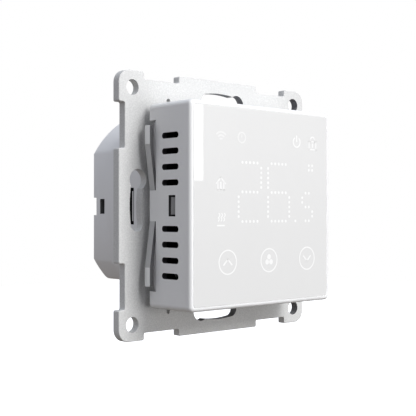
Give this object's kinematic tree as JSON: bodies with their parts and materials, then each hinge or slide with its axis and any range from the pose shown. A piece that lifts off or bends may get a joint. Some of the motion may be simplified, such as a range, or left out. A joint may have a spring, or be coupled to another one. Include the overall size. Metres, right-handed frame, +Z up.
{
  "type": "flush wall thermostat",
  "caption": "Flush wall thermostat for fan coils: touch display unit with frame springs on a square mounting plate, and a relay power unit that fits in the wall box.",
  "frame": {"origin": "centre of the four corner holes, on the back face of the mounting plate, which lies on the wall", "axes": "+Y points into the wall, +Z up, +X to the right for someone facing the display"},
  "size_m": [0.071, 0.0446, 0.071],
  "materials": {
    "plate": "fine grained, light warm grey",
    "grey_housing": "white moulding, matt",
    "white_shell": "white moulding, semi-gloss",
    "panel_film": "white print under a glossy clear face, lit symbols",
    "panel": "translucent white acrylic",
    "adhesive": "black foam tape",
    "light_box": "white light guide",
    "circuit_board": "green solder resist",
    "lamp": "clear lens over a white lamp",
    "spring_metal": "bright spring wire",
    "steel": "zinc-plated steel",
    "chip": "black epoxy",
    "shield_can": "tinned can",
    "black_plastic": "black moulding",
    "sensor_bead": "epoxy bead",
    "plated_brass": "plated brass",
    "ferrite": "dark ferrite and tape",
    "capacitor_sleeve": "dark sleeve, metal top",
    "film_capacitor": "ochre box",
    "varistor": "blue coating",
    "fuse": "dark brown sleeve",
    "terminal_plastic": "green polyamide",
    "relay_case": "black case"
  },
  "bodies": {
    "power_unit": {"mounting_plate": "plate", "deck_cover": "grey_housing", "rear_housing": "grey_housing", "rear_cap": "grey_housing", "power_board": "circuit_board", "transformer": "ferrite", "input_capacitor": "capacitor_sleeve", "output_capacitor": "capacitor_sleeve", "film_capacitor": "film_capacitor", "rectifier": "chip", "supply_chip": "chip", "varistor": "varistor", "fuse": "fuse", "header_socket": "black_plastic", "terminal_block": "terminal_plastic", "terminal_contacts": "plated_brass", "relay_low_speed": "relay_case", "relay_medium_speed": "relay_case", "relay_high_speed": "relay_case", "relay_valve": "relay_case"},
    "front_unit": {"front_shell": "white_shell", "symbol_film": "panel_film", "touch_panel": "panel", "panel_bond": "adhesive", "light_box": "light_box", "display_board": "circuit_board", "display_leds": "lamp", "touch_springs": "spring_metal", "display_board_screws": "steel", "control_chip": "chip", "radio_module": "shield_can", "buzzer": "black_plastic", "air_sensor": "sensor_bead", "header_body": "black_plastic", "header_pins": "plated_brass", "back_cover": "white_shell"},
    "spring_left_upper": {"frame_spring_left_upper": "white_shell"},
    "spring_left_lower": {"frame_spring_left_lower": "white_shell"},
    "spring_right_upper": {"frame_spring_right_upper": "white_shell"},
    "spring_right_lower": {"frame_spring_right_lower": "white_shell"},
    "screw_1": {"terminal_screw_1": "steel"},
    "cage_1": {"terminal_cage_1": "steel"},
    "screw_2": {"terminal_screw_2": "steel"},
    "cage_2": {"terminal_cage_2": "steel"},
    "screw_3": {"terminal_screw_3": "steel"},
    "cage_3": {"terminal_cage_3": "steel"},
    "screw_4": {"terminal_screw_4": "steel"},
    "cage_4": {"terminal_cage_4": "steel"},
    "screw_5": {"terminal_screw_5": "steel"},
    "cage_5": {"terminal_cage_5": "steel"},
    "screw_6": {"terminal_screw_6": "steel"},
    "cage_6": {"terminal_cage_6": "steel"}
  },
  "joints": [
    {"name": "front_unit_pull_off", "type": "slide", "parent": "power_unit", "child": "front_unit", "axis": [0, -1, 0], "range_m": [0, 0.02]},
    {"name": "spring_left_upper_flex", "type": "hinge", "parent": "front_unit", "child": "spring_left_upper", "pos_m": [-0.0264, -0.00545, 0.0043], "axis": [0, 1, 0], "range_deg": [0, 5], "stiffness_Nm_per_rad": 0.28},
    {"name": "spring_left_lower_flex", "type": "hinge", "parent": "front_unit", "child": "spring_left_lower", "pos_m": [-0.0264, -0.00545, -0.0043], "axis": [0, -1, 0], "range_deg": [0, 5], "stiffness_Nm_per_rad": 0.28},
    {"name": "spring_right_upper_flex", "type": "hinge", "parent": "front_unit", "child": "spring_right_upper", "pos_m": [0.0264, -0.00545, 0.0043], "axis": [0, -1, 0], "range_deg": [0, 5], "stiffness_Nm_per_rad": 0.28},
    {"name": "spring_right_lower_flex", "type": "hinge", "parent": "front_unit", "child": "spring_right_lower", "pos_m": [0.0264, -0.00545, -0.0043], "axis": [0, 1, 0], "range_deg": [0, 5], "stiffness_Nm_per_rad": 0.28},
    {"name": "terminal_screw_1_turn", "type": "hinge", "parent": "power_unit", "child": "screw_1", "pos_m": [-0.0127, 0.0175, -0.0146], "axis": [0, -1, 0], "range_deg": [0, 1728.1]},
    {"name": "terminal_cage_1_lift", "type": "slide", "parent": "power_unit", "child": "cage_1", "axis": [0, 1, 0], "range_m": [0, 0.0024]},
    {"name": "terminal_screw_2_turn", "type": "hinge", "parent": "power_unit", "child": "screw_2", "pos_m": [-0.00762, 0.0175, -0.0146], "axis": [0, -1, 0], "range_deg": [0, 1728.1]},
    {"name": "terminal_cage_2_lift", "type": "slide", "parent": "power_unit", "child": "cage_2", "axis": [0, 1, 0], "range_m": [0, 0.0024]},
    {"name": "terminal_screw_3_turn", "type": "hinge", "parent": "power_unit", "child": "screw_3", "pos_m": [-0.00254, 0.0175, -0.0146], "axis": [0, -1, 0], "range_deg": [0, 1728.1]},
    {"name": "terminal_cage_3_lift", "type": "slide", "parent": "power_unit", "child": "cage_3", "axis": [0, 1, 0], "range_m": [0, 0.0024]},
    {"name": "terminal_screw_4_turn", "type": "hinge", "parent": "power_unit", "child": "screw_4", "pos_m": [0.00254, 0.0175, -0.0146], "axis": [0, -1, 0], "range_deg": [0, 1728.1]},
    {"name": "terminal_cage_4_lift", "type": "slide", "parent": "power_unit", "child": "cage_4", "axis": [0, 1, 0], "range_m": [0, 0.0024]},
    {"name": "terminal_screw_5_turn", "type": "hinge", "parent": "power_unit", "child": "screw_5", "pos_m": [0.00762, 0.0175, -0.0146], "axis": [0, -1, 0], "range_deg": [0, 1728.1]},
    {"name": "terminal_cage_5_lift", "type": "slide", "parent": "power_unit", "child": "cage_5", "axis": [0, 1, 0], "range_m": [0, 0.0024]},
    {"name": "terminal_screw_6_turn", "type": "hinge", "parent": "power_unit", "child": "screw_6", "pos_m": [0.0127, 0.0175, -0.0146], "axis": [0, -1, 0], "range_deg": [0, 1728.1]},
    {"name": "terminal_cage_6_lift", "type": "slide", "parent": "power_unit", "child": "cage_6", "axis": [0, 1, 0], "range_m": [0, 0.0024]}
  ],
  "couplings": [
    {"joint": "terminal_screw_1_turn", "follows": "terminal_cage_1_lift", "rad_per_m": 12566},
    {"joint": "terminal_screw_2_turn", "follows": "terminal_cage_2_lift", "rad_per_m": 12566},
    {"joint": "terminal_screw_3_turn", "follows": "terminal_cage_3_lift", "rad_per_m": 12566},
    {"joint": "terminal_screw_4_turn", "follows": "terminal_cage_4_lift", "rad_per_m": 12566},
    {"joint": "terminal_screw_5_turn", "follows": "terminal_cage_5_lift", "rad_per_m": 12566},
    {"joint": "terminal_screw_6_turn", "follows": "terminal_cage_6_lift", "rad_per_m": 12566}
  ]
}
